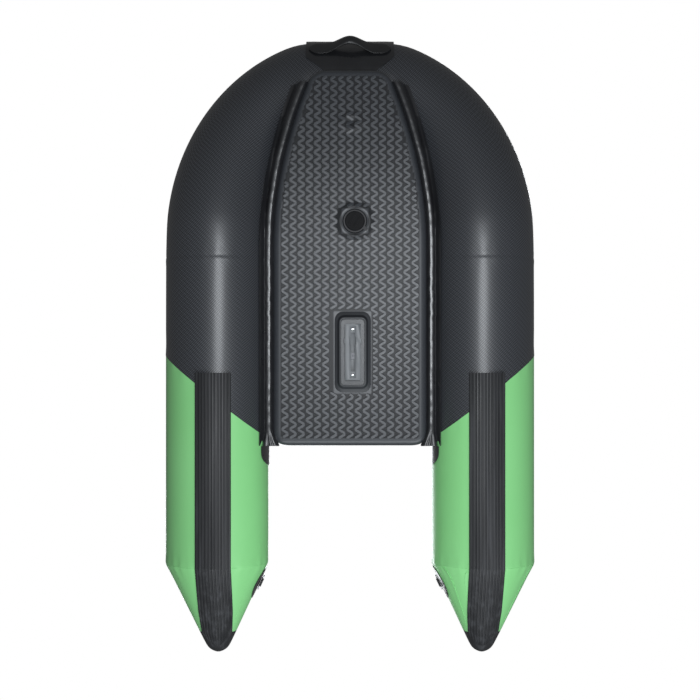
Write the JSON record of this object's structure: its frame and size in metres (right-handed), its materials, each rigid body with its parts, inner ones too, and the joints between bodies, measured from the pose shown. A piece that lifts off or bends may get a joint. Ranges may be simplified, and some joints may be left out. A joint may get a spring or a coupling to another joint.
{
  "type": "inflatable belly boat",
  "caption": "U-shaped inflatable belly boat: raised curved bow, flat drop-stitch floor, pointed stern pontoons, ribbed keel strakes, valves and a fin box.",
  "frame": {"origin": "on the surface the keel strakes rest on, below the centre of the overall box", "axes": "+Z towards the deck side, -Y towards the bow, +Y towards the stern tips"},
  "size_m": [1.086, 1.833, 0.444],
  "materials": {
    "carbon_pvc": "satin",
    "green_pvc": "satin",
    "smooth_pvc": "gloss",
    "floor_pvc": "satin",
    "stitch_yarn": "matte",
    "strake_rubber": "matte",
    "handle_rubber": "satin",
    "valve_plastic": "satin",
    "valve_seal": "matte",
    "fin_plastic": "satin",
    "steel": "polished",
    "webbing": "matte"
  },
  "bodies": {
    "hull": {"left_bow_tube": "carbon_pvc", "right_bow_tube": "carbon_pvc", "bow_bulkhead": "smooth_pvc", "left_pontoon_tube": "green_pvc", "right_pontoon_tube": "green_pvc", "left_stern_cone": "green_pvc", "right_stern_cone": "green_pvc", "left_cone_cap": "strake_rubber", "right_cone_cap": "strake_rubber", "left_keel_strake": "strake_rubber", "right_keel_strake": "strake_rubber", "floor_panel": "floor_pvc", "drop_stitch_web": "stitch_yarn", "left_floor_flap": "smooth_pvc", "right_floor_flap": "smooth_pvc", "left_corner_patch": "smooth_pvc", "right_corner_patch": "smooth_pvc", "bow_panel": "smooth_pvc", "bow_handle": "handle_rubber", "fin_base": "smooth_pvc", "fin_housing": "fin_plastic", "front_fin_screw": "steel", "rear_fin_screw": "steel", "left_cone_ring_patch": "smooth_pvc", "right_cone_ring_patch": "smooth_pvc", "left_deck_ring_patch": "smooth_pvc", "right_deck_ring_patch": "smooth_pvc", "left_cone_ring_strap": "webbing", "right_cone_ring_strap": "webbing", "left_deck_ring_strap": "webbing", "right_deck_ring_strap": "webbing", "floor_valve_body": "valve_plastic", "floor_valve_nut": "valve_plastic", "floor_valve_tether": "valve_seal", "floor_valve_spring": "steel", "left_valve_body": "valve_plastic", "left_valve_nut": "valve_plastic", "left_valve_tether": "valve_seal", "left_valve_spring": "steel", "right_valve_body": "valve_plastic", "right_valve_nut": "valve_plastic", "right_valve_tether": "valve_seal", "right_valve_spring": "steel"},
    "floor_valve_cap": {"floor_valve_cap": "valve_plastic"},
    "floor_valve_stem": {"floor_valve_stem": "valve_seal"},
    "left_valve_cap": {"left_valve_cap": "valve_plastic"},
    "left_valve_stem": {"left_valve_stem": "valve_seal"},
    "right_valve_cap": {"right_valve_cap": "valve_plastic"},
    "right_valve_stem": {"right_valve_stem": "valve_seal"},
    "fin_nut_plate": {"fin_nut_plate": "steel"},
    "left_cone_d_ring": {"left_cone_d_ring": "steel"},
    "left_deck_d_ring": {"left_deck_d_ring": "steel"},
    "right_cone_d_ring": {"right_cone_d_ring": "steel"},
    "right_deck_d_ring": {"right_deck_d_ring": "steel"}
  },
  "joints": [
    {"name": "floor_valve_cap_lift", "type": "slide", "parent": "hull", "child": "floor_valve_cap", "axis": [0, 0, -1], "range_m": [0, 0.05]},
    {"name": "floor_valve_push", "type": "slide", "parent": "hull", "child": "floor_valve_stem", "axis": [0, 0, 1], "range_m": [0, 0.005], "stiffness_N_per_m": 200, "springref_m": -0.006, "deforming": ["floor_valve_spring"]},
    {"name": "left_valve_cap_lift", "type": "slide", "parent": "hull", "child": "left_valve_cap", "axis": [0, 0, 1], "range_m": [0, 0.05]},
    {"name": "left_valve_push", "type": "slide", "parent": "hull", "child": "left_valve_stem", "axis": [0, 0, -1], "range_m": [0, 0.005], "stiffness_N_per_m": 200, "springref_m": -0.006, "deforming": ["left_valve_spring"]},
    {"name": "right_valve_cap_lift", "type": "slide", "parent": "hull", "child": "right_valve_cap", "axis": [0, 0, 1], "range_m": [0, 0.05]},
    {"name": "right_valve_push", "type": "slide", "parent": "hull", "child": "right_valve_stem", "axis": [0, 0, -1], "range_m": [0, 0.005], "stiffness_N_per_m": 200, "springref_m": -0.006, "deforming": ["right_valve_spring"]},
    {"name": "fin_nut_slide", "type": "slide", "parent": "hull", "child": "fin_nut_plate", "axis": [0, 1, 0], "range_m": [-0.055, 0.033]},
    {"name": "left_cone_ring_swing", "type": "hinge", "parent": "hull", "child": "left_cone_d_ring", "pos_m": [-0.26249, 0.70696, 0.16566], "axis": [-0.4239, 0.9057, 0], "range_deg": [0, 160]},
    {"name": "left_deck_ring_swing", "type": "hinge", "parent": "hull", "child": "left_deck_d_ring", "pos_m": [-0.391, -0.11145, 0.31388], "axis": [0, -1, 0], "range_deg": [0, 160]},
    {"name": "right_cone_ring_swing", "type": "hinge", "parent": "hull", "child": "right_cone_d_ring", "pos_m": [0.26249, 0.70696, 0.16566], "axis": [-0.4239, -0.9057, 0], "range_deg": [0, 160]},
    {"name": "right_deck_ring_swing", "type": "hinge", "parent": "hull", "child": "right_deck_d_ring", "pos_m": [0.391, -0.11145, 0.31388], "axis": [0, 1, 0], "range_deg": [0, 160]}
  ]
}
